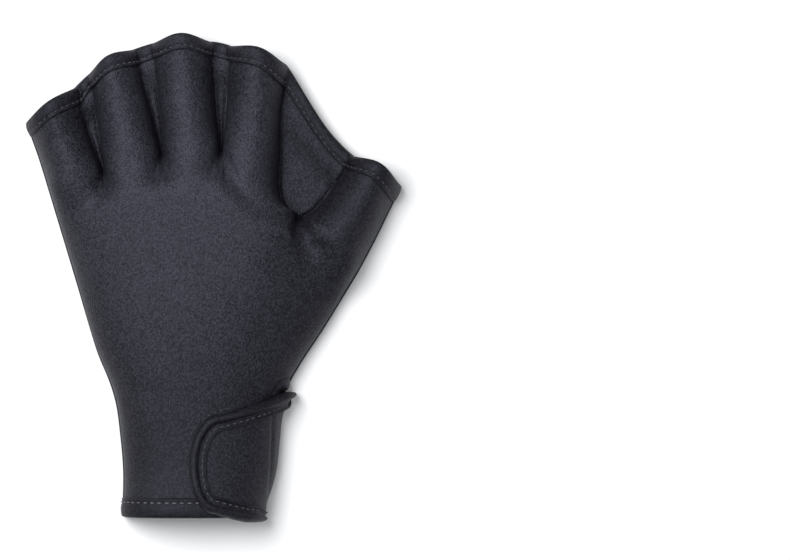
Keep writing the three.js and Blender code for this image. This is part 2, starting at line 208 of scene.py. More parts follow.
def hand_place(across, rise):
    left = little_side(rise * root_height(0))
    right = thumb_side(rise * root_height(1))
    return np.stack([mix(left, right, across), rise * root_height(across)], -1)


def dome_at(across, rise, depth):
    height = look_up(DOME_HEIGHTS, 1, rise) * HAND_HEIGHT
    side = np.abs(2 * np.clip(across, 0, 1) - 1)
    return (height - depth) * (1 - side**DOME_FULLNESS) ** (1 / DOME_FULLNESS)


def lengths_along(points):
    """The length of a path up to each of its points."""
    steps = np.linalg.norm(np.diff(points, axis=0), axis=1)
    return np.concatenate([[0], np.cumsum(steps)])


class Line:
    """A smooth plane curve through points, read by its share of length."""

    def __init__(self, points, steps=80):
        p = np.array(points, float)
        ends = np.vstack([p[:1], p, p[-1:]])
        pieces = []
        for i in range(len(p) - 1):
            a, b, c, d = ends[i : i + 4]
            t = np.linspace(0, 1, steps, endpoint=i == len(p) - 2)[:, None]
            v0, v1 = (c - a) / 2, (d - b) / 2
            cubic = (2 * b - 2 * c + v0 + v1) * t**3 + (-3 * b + 3 * c - 2 * v0 - v1) * t**2
            pieces.append(cubic + v0 * t + b)
        self.points = np.vstack(pieces)
        self.along = lengths_along(self.points)
        self.length = self.along[-1]

    def at(self, share):
        place = np.asarray(share) * self.length
        return np.stack([np.interp(place, self.along, self.points[:, k]) for k in (0, 1)], -1)


def side_line(root, shares):
    start = hand_place(ROOTS[root, 0], 1.0)
    return Line([start] + [(a * HAND_SPAN, u * GLOVE_LENGTH) for a, u in shares])


LEFT_LINES = [side_line(i, f["left"]) for i, f in enumerate(FINGERS)]
RIGHT_LINES = [side_line(i + 1, f["right"]) for i, f in enumerate(FINGERS)]
LAST = len(FINGERS) - 1


class Row:
    """A line of a sheet from side to side: up the hand from 0 to 1, then out along the sleeves from
    0 to 1 at the binding and 2 at the mouth. edge is 1 where a folded tape lies on the sheet."""

    def __init__(self, up=1.0, out=0.0):
        self.up, self.out = up, out
        wrist = smooth(2 * (HEM_WIDTH + TAPE_STACK), HEM_WIDTH + TAPE_STACK, up * MEAN_ROOT)
        self.edge = float(max(wrist if up < 1 else 0, smooth(RISE_START, 1, out)))
        self.mouth = BULGE_AT_BINDING * out if out < 1 else mix(BULGE_AT_BINDING, 1, out - 1)

    def rise(self, across):
        if self.up >= 1:
            return np.ones_like(np.asarray(across, float))
        top = root_height(across)
        return self.up * mix(MEAN_ROOT, top, float(smooth(0, 1, self.up))) / top

    def sides(self, i):
        if self.up < 1 or self.out <= 0:
            ends = ROOTS[i, 0], ROOTS[i + 1, 0]
            return [hand_place(e, self.rise(e)) for e in ends]
        bound = 1 - MOUTH_ZONE / min(LEFT_LINES[i].length, RIGHT_LINES[i].length)
        t = self.out * bound if self.out < 1 else mix(bound, 1, self.out - 1)
        return [LEFT_LINES[i].at(t), RIGHT_LINES[i].at(t)]

    def blend(self, across):
        """How far the dome has taken over from the fingers, 0 at the roots to 1 in the hand: steep as
        along a valley, and gentle as over the middle of a finger."""
        if self.up >= 1:
            return np.zeros((2, *np.shape(across)))
        reach = np.interp(across, ROOTS[:, 0], CREASE_REACHES)
        below = np.clip((1 - self.rise(across)) * root_height(across) / reach, 0, 1)
        return np.array([np.sin(below * np.pi / 2), below * below * (3 - 2 * below)])

    def near_roots(self):
        """1 at the finger roots, falling to 0 both ways over the reach of the sag."""
        if self.up >= 1:
            return float(1 - smooth(0, SAG_OUT, self.out))
        return float(smooth(1 - SAG_IN, 1, self.up))

    def slit(self):
        """How far the slit in the thumb side is open at this row."""
        y = self.rise(1.0) * root_height(1.0)
        return float(np.clip((SLIT_TOP - y) / (SLIT_FADE * SLIT_TOP), 0, 1))


def from_wrist(distance):
    return Row(up=distance / MEAN_ROOT)


def from_mouth(distance):
    return Row(out=2 - distance / MOUTH_ZONE)


def feet(i, row, depth):
    """The two feet of finger i for a face at that depth, and their shares of the hand's width."""
    left, right = row.sides(i)
    width = np.linalg.norm(right - left)
    low, high = ROOTS[i, 0], ROOTS[i + 1, 0]
    insets = [depth, depth]
    if i > 0:
        insets[0] = VALLEY_WIDTH / 2 + depth * (1 - float(row.blend(low)[0]))
    if i < LAST:
        insets[1] = VALLEY_WIDTH / 2 + depth * (1 - float(row.blend(high)[0]))
    first, last = insets[0] / width, insets[1] / width
    shares = (mix(low, high, first) if i > 0 else 0.0, mix(high, low, last) if i < LAST else 1.0)
    return mix(left, right, first), mix(right, left, last), shares


def groove(distance, row, depth, blend):
    """How far the outer face is drawn in beside a seam."""
    share = np.clip(1 - depth / WALL, 0, 1) * (1 - row.edge) * (1 - blend)
    return GROOVE_DEPTH * share * np.exp(-((distance / GROOVE_WIDTH) ** 2))


def turned(a, b):
    return np.array([a[1] - b[1], b[0] - a[0]])


def foot_raise(web, row, from_left, from_right):
    """How far the binding is lifted off the web towards the fingers on both sides."""
    if row.up < 1 or not 0 <= web < LAST:
        return 0.0
    nearness = np.exp(-from_left / RAISE_REACH) + np.exp(-from_right / RAISE_REACH)
    return RAISE_HEIGHT * row.edge * nearness


def web_width(web, row):
    if not 0 <= web < LAST:
        return 0.0
    return float(np.linalg.norm(row.sides(web + 1)[0] - row.sides(web)[1])) + VALLEY_WIDTH


def finger_bulge(i, row, s):
    hump = np.sin(np.pi * np.clip(s, 0, 1))
    sag = ROOT_SAG[i] * row.near_roots() * hump**2
    return FINGERS[i]["crown"] * row.mouth * hump**BULGE_FADE - sag


def web_bulge(web, row, s):
    return WEB_CROWN[web] * row.mouth * 4 * s * (1 - s) * (1 + WEB_LEAN[web] * (2 * s - 1))


def finger_strip(i, s, row, depth):
    """Points of the back sheet over finger i."""
    a, b, shares = feet(i, row, depth)
    steep, gentle = row.blend(mix(ROOTS[i, 0], ROOTS[i + 1, 0], s))
    blend = mix(steep, gentle, smooth(0, FOOT_SHARE, np.minimum(s, 1 - s)))
    part = s * (1 - SLIT_OPENING * row.slit()) if i == LAST else s
    arch_step = (1 - np.cos(np.pi * part)) / 2
    hand_step = part
    if i == 0:
        hand_step = 1 - np.cos(np.pi * part / 2)
    if i == LAST:
        hand_step = np.sin(np.pi * part / 2)
    q = mix(arch_step, hand_step, blend)
    place = a + (b - a) * q[:, None] + turned(a, b) * finger_bulge(i, row, q)[:, None]
    valley = WALL - depth + row.edge * TAPE_STACK
    left_foot = valley + foot_raise(i - 1, row, web_width(i - 1, row), 0.0) if i > 0 else 0
    right_foot = valley + foot_raise(i, row, 0.0, web_width(i, row)) if i < LAST else 0
    base = mix(left_foot, right_foot, s)
    fall = smooth(0, 1, row.mouth)
    crown = mix(FINGERS[i]["root"], FINGERS[i]["mouth"], fall) * FINGER_HEIGHT - depth
    soft_foot = mix(1, ARCH_FADE, row.edge if row.up >= 1 else 0)
    soft_foot *= mix(1, ROOT_FULLNESS, row.near_roots())
    arch = mix(base, crown, np.sin(np.pi * np.clip(part, 0, 1)) ** soft_foot)
    across = mix(shares[0], shares[1], q)
    height = mix(arch, dome_at(across, row.rise(across), depth), blend)
    width = np.linalg.norm(b - a)
    if i > 0:
        height -= groove(q * width, row, depth, steep[0])
    if i < LAST:
        height -= groove((1 - q) * width, row, depth, steep[-1])
    return np.column_stack([place, BACK_FOOT + 2 * row.edge * TAPE_STACK + height])


def web_strip(i, s, row, depth):
    """Points of the back sheet over the web between fingers i and i + 1."""
    _, a, before = feet(i, row, depth)
    b, _, after = feet(i + 1, row, depth)
    place = a + (b - a) * s[:, None] + turned(a, b) * web_bulge(i, row, s)[:, None]
    width = np.linalg.norm(b - a)
    total = web_width(i, row)
    from_left = np.clip(s * width, 0, total)
    from_right = width - from_left
    lift = foot_raise(i, row, from_left * total / width, from_right * total / width)
    flat = WALL - depth + row.edge * TAPE_STACK + lift
    across = mix(before[1], after[0], s)
    blend = row.blend(ROOTS[i + 1, 0])[0]
    height = mix(flat, dome_at(across, row.rise(across), depth), blend)
    height -= groove(np.minimum(s, 1 - s) * width, row, depth, blend)
    return np.column_stack([place, BACK_FOOT + 2 * row.edge * TAPE_STACK + height])


def palm_strip(kind, i, s, row, depth):
    """Points of the palm sheet; depth is 0 on its upper face and WALL on its lower one."""
    if kind == "web":
        a, b = feet(i, row, 0)[1], feet(i + 1, row, 0)[0]
        bulge = web_bulge(i, row, s)
    else:
        a, b = feet(i, row, 0)[:2]
        bulge = finger_bulge(i, row, s)
    place = a + (b - a) * s[:, None] + turned(a, b) * bulge[:, None]
    if kind == "finger" and i == LAST:
        place[:, 0] += (STRAP_OFFSET - GAP) * row.slit() * s
    return np.column_stack([place, np.full(len(s), WALL - depth + row.edge * TAPE_STACK)])


def columns(finger_steps, web_steps):
    """Places across a sheet: the strips in order, each with its own shares."""
    strips = []
    for i in range(len(FINGERS)):
        strips.append(("finger", i, np.linspace(0, 1, finger_steps[i] + 1)))
        if i < LAST:
            strips.append(("web", i, np.linspace(0, 1, web_steps[i] + 1)[1:-1]))
    return strips


def back_line(strips, row, depth):
    shapes = {"finger": finger_strip, "web": web_strip}
    return np.vstack([shapes[kind](i, s, row, depth) for kind, i, s in strips])


def palm_line(strips, row, depth):
    return np.vstack([palm_strip(kind, i, s, row, depth) for kind, i, s in strips])


# Places over the back of the wrist, for the strap
HEM_RISE = (HEM_WIDTH + TAPE_STACK) / (ROOTS[LAST + 1, 1] * GLOVE_LENGTH)
STRAP_TIP = float(thumb_side(STRAP_MIDDLE)) + STRAP_OFFSET + STRAP_THICKNESS - STRAP_LENGTH


def cuff_point(x, y, depth, first_guess=0.8, guesses=8):
    """Points over the back of the wrist. The share across the hand is guessed, then corrected."""
    x, y = np.broadcast_arrays(np.asarray(x, float), np.asarray(y, float))
    across = np.full(x.shape, first_guess)
    for _ in range(guesses):
        rise = y / root_height(across)
        left, right = little_side(rise * root_height(0)), thumb_side(rise * root_height(1))
        across = np.clip((x - left) / (right - left), 0, 1)
    left, right = left + depth, right - depth
    lift = np.clip(2 - rise / HEM_RISE, 0, 1) * 2 * TAPE_STACK
    z = WALL + GAP + lift + dome_at(across, rise, depth)
    return np.stack([mix(left, right, across), y, z], -1)


def strap_edges_at(along, inset=0.0):
    """Upper and lower edge of the strap, or a line inset from it, at a share of the strap's length."""
    shoulder = STRAP_EDGES[0, 0]
    back = np.clip((shoulder - along) / (shoulder - (inset + STRAP_TUCK) / STRAP_LENGTH), 0, 1)
    tip = np.sqrt(1 - back * back)
    edges = []
    for column in (1, 2):
        share = np.where(along < shoulder, STRAP_EDGES[0, column], look_up(STRAP_EDGES, column, along))
        edges.append(tip * (share * STRAP_WIDTH / 2 - inset))
    return STRAP_MIDDLE + edges[0], STRAP_MIDDLE - edges[1]


def over_cuff(along, y, depth):
    return cuff_point(mix(STRAP_TIP, thumb_side(y), along), y, depth)


# Where the model stands in the frame, and where it falls in the photograph: the photograph's size
# in pixels, the millimetres to a pixel, and the pixel over the frame's middle
PALM_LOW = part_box("palm_panel")[0]
LEFTMOST = FINGERS[0]["left"][-1][0] * HAND_SPAN
ORIGIN = np.array([PALM_LOW.x - LEFTMOST * MM, PALM_LOW.y, PALM_LOW.z])
PHOTO_SIZE = (790, 560)
PIXEL = 0.45267
MIDDLE_PIXEL = (214.0, 278.0)


def photo_place(px, py):
    """The model's own x and y, in millimetres, under a pixel of the photograph."""
    x = (px - MIDDLE_PIXEL[0]) * PIXEL - ORIGIN[0] / MM
    y = (MIDDLE_PIXEL[1] - py) * PIXEL - ORIGIN[1] / MM
    return x, y


def unit(vectors):
    return vectors / np.maximum(np.linalg.norm(vectors, axis=-1, keepdims=True), 1e-9)


# Meshes
def quads(index):
    return np.stack([index[:-1, :-1], index[:-1, 1:], index[1:, 1:], index[1:, :-1]], -1).reshape(-1, 4)


def rim_of(rows, cols):
    index = np.arange(rows * cols).reshape(rows, cols)
    return np.concatenate([index[0, :-1], index[:-1, -1], index[-1, :0:-1], index[:0:-1, 0]])


def closed_sheet(outer, inner, bulge, layers=5):
    """Points and faces of a sheet between two grids with a rounded edge. The inner face takes every
    second row and column, so a grid has odd numbers of both."""
    rows, cols = outer.shape[:2]
    rim = rim_of(rows, cols)
    r, c = np.divmod(rim, cols)
    near = np.clip(r, 1, rows - 2), np.clip(c, 1, cols - 2)
    away = unit(outer[r, c] - outer[near] + inner[r, c] - inner[near])
    points, rings, count = [outer.reshape(-1, 3)], [rim], rows * cols
    for k in range(1, layers):
        turn = math.pi * k / layers
        ring = mix(outer[r, c], inner[r, c], (1 - math.cos(turn)) / 2) + away * bulge * math.sin(turn)
        points.append(ring)
        rings.append(count + np.arange(len(rim)))
        count += len(rim)
    coarse = inner[::2, ::2]
    points.append(coarse.reshape(-1, 3))
    coarse_index = count + np.arange(coarse.shape[0] * coarse.shape[1]).reshape(coarse.shape[:2])
    faces = quads(np.arange(rows * cols).reshape(rows, cols)).tolist()
    faces += quads(coarse_index)[:, ::-1].tolist()
    for a, b in zip(rings, rings[1:]):
        faces += np.stack([a, b, np.roll(b, -1), np.roll(a, -1)], -1).tolist()
    last, end = rings[-1], count + rim_of(*coarse.shape[:2])
    two_on = np.roll(last, -2)[::2]
    faces += np.stack([last[::2], last[1::2], two_on, np.roll(end, -1), end], -1).tolist()
    return np.vstack(points), faces


def joined(parts):
    """One list of points and faces from several."""
    points, faces, count = [], [], 0
    for p, f in parts:
        points.append(p)
        faces += [[i + count for i in face] for face in f]
        count += len(p)
    return np.vstack(points), faces


def swept(rings):
    """A closed tube through like sections, with flat ends."""
    n, around = rings.shape[:2]
    index = np.arange(n * around).reshape(n, around)
    faces = quads(np.hstack([index, index[:, :1]])).tolist()
    return rings.reshape(-1, 3), faces + [index[0].tolist(), index[-1, ::-1].tolist()]


def nub(ring, away, depth, layers=5):
    """A rounded end on a section, pushed out along away."""
    middle = ring.mean(0)
    rings = []
    for k in range(layers):
        turn = 0.5 * math.pi * k / layers
        rings.append(middle + (ring - middle) * math.cos(turn) + away * depth * math.sin(turn))
    return swept(np.array(rings))


def piece(name, shape, material, replaces=()):
    points, faces = shape
    mesh = bpy.data.meshes.new(name)
    mesh.from_pydata((points * MM + ORIGIN).tolist(), [], faces)
    mesh.polygons.foreach_set("use_smooth", np.ones(len(mesh.polygons), bool))
    mesh.materials.append(material)
    mesh.update()
    made = bpy.data.objects.new(name, mesh)
    bpy.context.scene.collection.objects.link(made)
    turn_faces_out(mesh)
    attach(made, "root")
    if replaces:
        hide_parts(*replaces)
    return made


def turn_faces_out(mesh):
    work = bmesh.new()
    work.from_mesh(mesh)
    bmesh.ops.recalc_face_normals(work, faces=work.faces)
    work.to_mesh(mesh)
    work.free()


def grid_normals(grid):
    across = np.gradient(grid, axis=1)
    along = np.gradient(grid, axis=0)
    return unit(np.cross(across, along))


def eased(grid, passes):
    """The grid or path with its kinks from row to row smoothed away."""
    for _ in range(passes):
        grid[1:-1] = (grid[:-2] + 2 * grid[1:-1] + grid[2:]) / 4
    return grid


# Creases and dents in the back panel: pixels of the photograph, width and height in millimetres
CREASES = [
    dict(path=[(291, 377.5), (285, 379.5), (279, 383), (275, 391), (272, 397)],
         width=0.75, height=-1.3),
    dict(path=[(293, 383), (287, 385), (281, 389)], width=1.7, height=1.5),
    dict(path=[(296, 390.5), (288, 391.5), (277, 395)], width=0.7, height=-1.2),
    dict(path=[(286, 370), (276, 374), (266, 382)], width=2.6, height=-0.5),
    dict(path=[(60, 190), (80, 208), (104, 214)], width=6, height=-0.4),
    dict(path=[(304, 235), (301, 260), (294, 295)], width=13, height=-1.6),
    dict(path=[(118, 398), (140, 392), (168, 396)], width=7, height=-0.5),
]
STRAP_CREASES = [
    dict(path=[(271.5, 400), (271, 430), (270, 465), (267, 500), (265, 515)],
         width=0.7, height=0.15),
    dict(path=[(273.5, 400), (273.3, 430), (272, 465), (269, 500), (267, 515)],
         width=0.9, height=-0.6),
]

# A crease fades in and out over this share of its path, down to the least share of its height
CREASE_RAMP = 0.25
CREASE_LEAST = 0.15


def near_path(x, y, path):
    """Distance to a path through pixels of the photograph, and the share along it."""
    points = np.array([photo_place(*p) for p in path])
    best, share = np.full(x.shape, 1e9), np.zeros(x.shape)
    for k, (a, b) in enumerate(zip(points, points[1:])):
        way = b - a
        t = np.clip(((x - a[0]) * way[0] + (y - a[1]) * way[1]) / (way @ way), 0, 1)
        far = np.hypot(x - a[0] - t * way[0], y - a[1] - t * way[1])
        share = np.where(far < best, (k + t) / (len(points) - 1), share)
        best = np.minimum(best, far)
    return best, share


def crease_height(x, y, creases):
    total = np.zeros(x.shape)
    for crease in creases:
        far, share = near_path(x, y, crease["path"])
        fade = smooth(0, CREASE_RAMP, share) * smooth(1, 1 - CREASE_RAMP, share) + CREASE_LEAST
        total += crease["height"] * fade * np.exp(-((far / crease["width"]) ** 2))
    return total


# Materials
def new_material(name):
    material = bpy.data.materials.new(name)
    material.use_nodes = True
    tree = material.node_tree
    return material, tree, tree.nodes["Principled BSDF"]


def node(tree, kind, inputs=(), **settings):
    made = tree.nodes.new(kind)
    for key, value in settings.items():
        setattr(made, key, value)
    for key, value in dict(inputs).items():
        socket = made.inputs[key]
        if isinstance(value, bpy.types.NodeSocket):
            tree.links.new(value, socket)
        else:
            socket.default_value = value
    return made


def combined(tree, operation, a, b, kind="ShaderNodeMath"):
    return node(tree, kind, {0: a, 1: b}, operation=operation).outputs[0]


def spread(tree, value, before, after, **settings):
    """The value carried from one range to another."""
    inputs = {"Value": value, 1: before[0], 2: before[1], 3: after[0], 4: after[1]}
    return node(tree, "ShaderNodeMapRange", inputs, **settings).outputs[0]


# Painted light and shade: the cloth's colour is painted paler where light falls over the knuckles,
# and darker beyond as painted shade on the sides, thumb and wrist: where, and how far that reaches
# each way, in metres, over which shares of the reach it fades, and the painted shade beyond
PAINTED_LIGHT_AT = (-0.0177, 0.0398, 0)
PAINTED_LIGHT_REACH = (0.05, 0.081, 0.08)
PAINTED_LIGHT_RIM = (0.5, 1.5)
PAINTED_SHADE_BEYOND = 0.3

# The knit: how flat its loops lie along the glove, how uneven they are, their shades from middle to
# edge, their height as a share of their width, and the least shade of all
LOOP_FLATTEN = 0.8
LOOP_RANDOMNESS = 0.85
LOOP_SHADES = (1.15, 0.7)
LOOP_HEIGHT = 0.3
DARKEST = 0.06

# Slow and fine changes of shade: the patches' number in a metre and in a loop, and the fine shades
DRIFT_SCALE = 24.0
PATCH_SCALE = 0.35
PATCH_SHADES = (0.94, 1.06)
GLOSS_TINT = (0.78, 0.79, 1, 1)


def cloth(name, colour, loop, speck, roughness, gloss, bump, drift=0.18, painted_shade=PAINTED_SHADE_BEYOND):
    """Knitted cloth: small loops about as wide as given in millimetres, some paler and some darker,
    on a ground whose shade drifts slowly, with painted light over the knuckles and painted shade
    beyond them."""
    material, tree, shader = new_material(name)
    place = node(tree, "ShaderNodeTexCoord").outputs["Object"]
    knit = combined(tree, "MULTIPLY", place, (1, LOOP_FLATTEN, 1), "ShaderNodeVectorMath")
    cells = {"Vector": knit, "Scale": 1 / (loop * MM), "Randomness": LOOP_RANDOMNESS}
    loops = node(tree, "ShaderNodeTexVoronoi", cells).outputs
    shade = node(tree, "ShaderNodeSeparateColor", {"Color": loops["Color"]}).outputs
    drifts = {"Vector": place, "Scale": DRIFT_SCALE, "Detail": 3.0}
    wide = node(tree, "ShaderNodeTexNoise", drifts).outputs["Fac"]
    patches = {"Vector": place, "Scale": PATCH_SCALE / (loop * MM), "Detail": 2.0}
    fine = node(tree, "ShaderNodeTexNoise", patches).outputs["Fac"]
    slow = spread(tree, wide, (0.3, 0.7), (1 - drift, 1 + drift))
    patchy = spread(tree, fine, (0.35, 0.65), PATCH_SHADES)
    grain = spread(tree, shade["Red"], (0.0, 1.0), (-speck, speck))
    rounded = spread(tree, loops["Distance"], (0.1, 0.6), LOOP_SHADES)
    # Painted light and shade: the colour is paler near the knuckles and fades to painted shade farther
    # away
    away = combined(tree, "SUBTRACT", place, PAINTED_LIGHT_AT, "ShaderNodeVectorMath")
    share = combined(tree, "DIVIDE", away, PAINTED_LIGHT_REACH, "ShaderNodeVectorMath")
    far = node(tree, "ShaderNodeVectorMath", {0: share}, operation="LENGTH").outputs["Value"]
    painted_light = spread(tree, far, PAINTED_LIGHT_RIM, (1.0, painted_shade), interpolation_type="SMOOTHSTEP")
    tone = slow
    for part in (patchy, rounded, painted_light):
        tone = combined(tree, "MULTIPLY", tone, part)
    tone = combined(tree, "ADD", tone, grain)
    tone = combined(tree, "MAXIMUM", tone, DARKEST)
    ground = node(tree, "ShaderNodeRGB").outputs[0]
    ground.default_value = (*colour, 1)
    shaded = node(tree, "ShaderNodeVectorMath", {0: ground, "Scale": tone}, operation="SCALE")
    tree.links.new(shaded.outputs[0], shader.inputs["Base Color"])
    height = combined(tree, "SUBTRACT", shade["Green"], loops["Distance"])
    relief = {"Height": height, "Strength": bump, "Distance": LOOP_HEIGHT * loop * MM}
    raised = node(tree, "ShaderNodeBump", relief).outputs["Normal"]
    tree.links.new(raised, shader.inputs["Normal"])
    shader.inputs["Roughness"].default_value = roughness
    shader.inputs["Specular IOR Level"].default_value = gloss
    shader.inputs["Specular Tint"].default_value = GLOSS_TINT
    return material


NEOPRENE = cloth("knit_neoprene", (0.0255, 0.0255, 0.034),
                 loop=0.5, speck=0.6, roughness=0.53, gloss=0.3, bump=1.0)
TAPE_CLOTH = cloth("ribbed_tape", (0.02, 0.02, 0.026),
                   loop=0.55, speck=0.45, roughness=0.55, gloss=0.27, bump=0.7)
HOOKS = cloth("hook_pile", (0.012, 0.012, 0.013),
              loop=1.1, speck=0.6, roughness=0.8, gloss=0.3, bump=1.0)
YARN = dict(loop=0.25, speck=0.2, roughness=0.55, gloss=0.4, bump=0.3, drift=0.4, painted_shade=1.0)
THREAD = cloth("grey_thread", (0.085, 0.085, 0.1), **YARN)
PALE_THREAD = cloth("pale_thread", (0.18, 0.18, 0.2), **YARN)

# The back panel: facets across each finger and web, and rows up the wrist, up the hand, closer
# together towards the roots, and out along the sleeves
BACK_COLUMNS = columns([56, 52, 52, 56, 60], [6, 6, 6, 26])
WRIST_SHARE = 0.2
ROW_CROWDING = 1.25
wrist_rows = np.linspace(0, WRIST_SHARE, 31)
hand_rows = 1 - (1 - WRIST_SHARE) * np.linspace(1, 0, 111)[1:-1] ** ROW_CROWDING
sleeve_rows = np.linspace(0, 2 - EDGE_ROUND / MOUTH_ZONE, 84)
BACK_ROWS = [Row(up=u) for u in (*wrist_rows, *hand_rows)] + [Row(out=w) for w in sleeve_rows]
if len(BACK_ROWS) % 2 == 0:
    BACK_ROWS.insert(1, Row(up=0.003))

# Passes of smoothing along the glove, on each panel
BACK_EASING = 6
PALM_EASING = 3

# Where the back is smoothed all round: paths through pixels of the photograph, and how far from
# them it is smoothed, in millimetres
RELAXED = [
    dict(path=[(301, 228), (308, 240)], reach=5.6),
    dict(path=[(312, 248), (320, 268)], reach=11.0),
]
RELAX_PASSES = 260


def relaxed(grid, spots, passes):
    """The grid, smoothed along each path and less and less out to its reach."""
    weight = np.zeros(grid.shape[:2])
    for spot in spots:
        far, _ = near_path(grid[..., 0], grid[..., 1], spot["path"])
        weight = np.maximum(weight, smooth(spot["reach"], 0, far))
    weight = weight[1:-1, 1:-1, None]
    for _ in range(passes):
        mean = (grid[:-2, 1:-1] + grid[2:, 1:-1] + grid[1:-1, :-2] + grid[1:-1, 2:]) / 4
        grid[1:-1, 1:-1] += (mean - grid[1:-1, 1:-1]) * weight
    return grid


def back_grid(depth):
    grid = np.array([back_line(BACK_COLUMNS, row, depth) for row in BACK_ROWS])
    return relaxed(eased(grid, BACK_EASING), RELAXED, RELAX_PASSES)


# Slow waves all over the back: height, turn for each millimetre and first turn across and up the
# glove, and how many columns at each side stay still
WAVE_HEIGHT = 0.25
WAVE_ACROSS = (0.11, 1.3)
WAVE_UP = (0.09, 0.4)
STILL_COLUMNS = 6

outer, inner = back_grid(0), back_grid(WALL)
waves = np.sin(outer[..., 0] * WAVE_ACROSS[0] + WAVE_ACROSS[1])
waves *= np.sin(outer[..., 1] * WAVE_UP[0] + WAVE_UP[1]) * WAVE_HEIGHT
counted = np.arange(outer.shape[1])
waves *= smooth(0, STILL_COLUMNS, np.minimum(counted, counted[::-1]))
lift = crease_height(outer[..., 0], outer[..., 1], CREASES) + waves
normals = grid_normals(outer)
for face in (outer, inner):
    face += normals * lift[..., None]
back_shape = closed_sheet(outer, inner, EDGE_ROUND)
back = piece("back_skin", back_shape, NEOPRENE, ["back_panel"])

# The palm panel
PALM_COLUMNS = columns([30, 30, 30, 32, 32], [4, 4, 4, 14])
PALM_ROWS = [Row(up=u) for u in np.linspace(0, 1, 71)[:-1]]
PALM_ROWS += [Row(out=w) for w in np.linspace(0, 2, 43)]


def palm_grid(depth):
    grid = np.array([palm_line(PALM_COLUMNS, row, depth) for row in PALM_ROWS])
    return eased(grid, PALM_EASING)


palm_shape = closed_sheet(palm_grid(WALL), palm_grid(0), EDGE_ROUND)
palm = piece("palm_skin", palm_shape, NEOPRENE, ["palm_panel"])

# A folded tape's outside: inwards from the edge as a share of its width, and height over the sheet
TAPE_OUTSIDE = [
    (1.0, 0.06), (0.985, 0.45), (0.93, 0.85), (0.86, 0.95), (0.79, 0.74), (0.74, 0.66), (0.68, 0.78),
    (0.58, 1.08), (0.42, 1.25), (0.25, 1.22), (0.1, 1.08),
]
UNDERSIDE_SHARE = 0.78

# The bend round the sheet's edge: steps, where it starts and ends in half turns, its height over
# the sheet and its fullness
BEND_STEPS = 7
BEND_TURNS = (0.15, 0.85)
BEND_HEIGHT = 0.95
BEND_FULLNESS = 0.8

# The tape's inner face: its gap to the sheet, and its corners round the sheet's edge
TAPE_CLEARANCE = 0.03
CORNER_IN = 0.4
CORNER_OUT = 0.12
CORNER_DEPTH = 0.5


def tape_section(width, rounding):
    """Outline of a folded tape as (inwards, depth), once round."""
    over = [(x * width, -h) for x, h in TAPE_OUTSIDE]
    under = [(x * width, WALL + UNDERSIDE_SHARE * h) for x, h in TAPE_OUTSIDE[::-1]]
    bend = []
    for turn in np.linspace(*BEND_TURNS, BEND_STEPS) * math.pi:
        outwards = rounding * math.sin(turn) ** BEND_FULLNESS
        bend.append((-outwards, WALL / 2 - (WALL / 2 + BEND_HEIGHT) * math.cos(turn)))
    low, high = WALL + TAPE_CLEARANCE, -TAPE_CLEARANCE
    inside = [
        (width, low), (CORNER_IN, low), (-CORNER_OUT, WALL - CORNER_DEPTH),
        (-CORNER_OUT, CORNER_DEPTH), (CORNER_IN, high), (width, high),
    ]
    return over + bend + under + inside


def tape_rings(line, strips, row_at, width, rounding):
    """Sections of a folded tape along a sheet's edge."""
    rings = []
    for inward, depth in tape_section(width, rounding):
        edge = line(strips, row_at(0), depth)
        if inward >= 0:
            rings.append(line(strips, row_at(inward), depth))
        else:
            way = unit(edge - line(strips, row_at(1.0), depth))
            rings.append(edge - way * inward)
    return np.array(rings).transpose(1, 0, 2)


def pucker(rings, amount, pitch, lump_spacing=4, lump_share=0.8):
    """A tape drawn in at every stitch, with small uneven lumps along it."""
    middle = rings.mean(1)
    along = lengths_along(middle)
    wave = 0.5 - 0.5 * np.cos(2 * np.pi * along / pitch)
    lumps = np.arange(0, along[-1] + 2 * lump_spacing, lump_spacing)
    uneven = np.interp(along, lumps, rng.uniform(-1, 1, len(lumps)))
    size = amount * (wave + lump_share * uneven)
    return middle[:, None] + (rings - middle[:, None]) * (1 + size)[:, None, None]


def tape_piece(name, rings, replaces, end_depth, end_sink=0.15):
    """A folded tape with rounded ends, which start a little inside it."""
    parts = [swept(rings)]
    skin = rings[:, : 2 * len(TAPE_OUTSIDE) + BEND_STEPS]
    for end, next_one in ((0, 1), (-1, -2)):
        away = unit(rings[end].mean(0) - rings[next_one].mean(0))
        parts.append(nub(skin[end] - away * end_sink, away, end_depth))
    return piece(name, joined(parts), TAPE_CLOTH, replaces)


# The bindings and hems: facets, rows from the edge, width, and how far bend and ends stand out
BINDING = dict(strips=columns([70, 70, 70, 70, 60], [10, 10, 10, 40]), row_at=from_mouth,
               width=BINDING_WIDTH, rounding=1.1)
HEM = dict(strips=columns([40, 40, 40, 44, 44], [4, 4, 4, 4]), row_at=from_wrist,
           width=HEM_WIDTH, rounding=1.0)
BINDING_END = 1.4
HEM_END = 0.5
for name, line, tape, end_depth, node_name in (
    ("finger_binding", back_line, BINDING, BINDING_END, "back_edge_binding"),
    ("palm_finger_binding", palm_line, BINDING, BINDING_END, "palm_edge_binding"),
    ("wrist_hem", back_line, HEM, HEM_END, "cuff_hem_back"),
    ("palm_wrist_hem", palm_line, HEM, HEM_END, "cuff_hem_palm"),
):
    tape_piece(name, tape_rings(line, **tape), [node_name], end_depth)

# The wrist strap: depths of its faces, how far its skin stays inside its binding, and its facets
STRAP_OUTER = -(STRAP_OFFSET + STRAP_THICKNESS)
STRAP_INNER = -STRAP_OFFSET
SKIN_INSET = 1.0
TIP_START = 0.004
STRAP_SHARES = mix(TIP_START, 1, (1 - np.cos(np.pi * np.linspace(0, 1, 115))) / 2)
ACROSS_SHARES = np.linspace(0, 1, 95)
STRAP_ROUND = 0.1


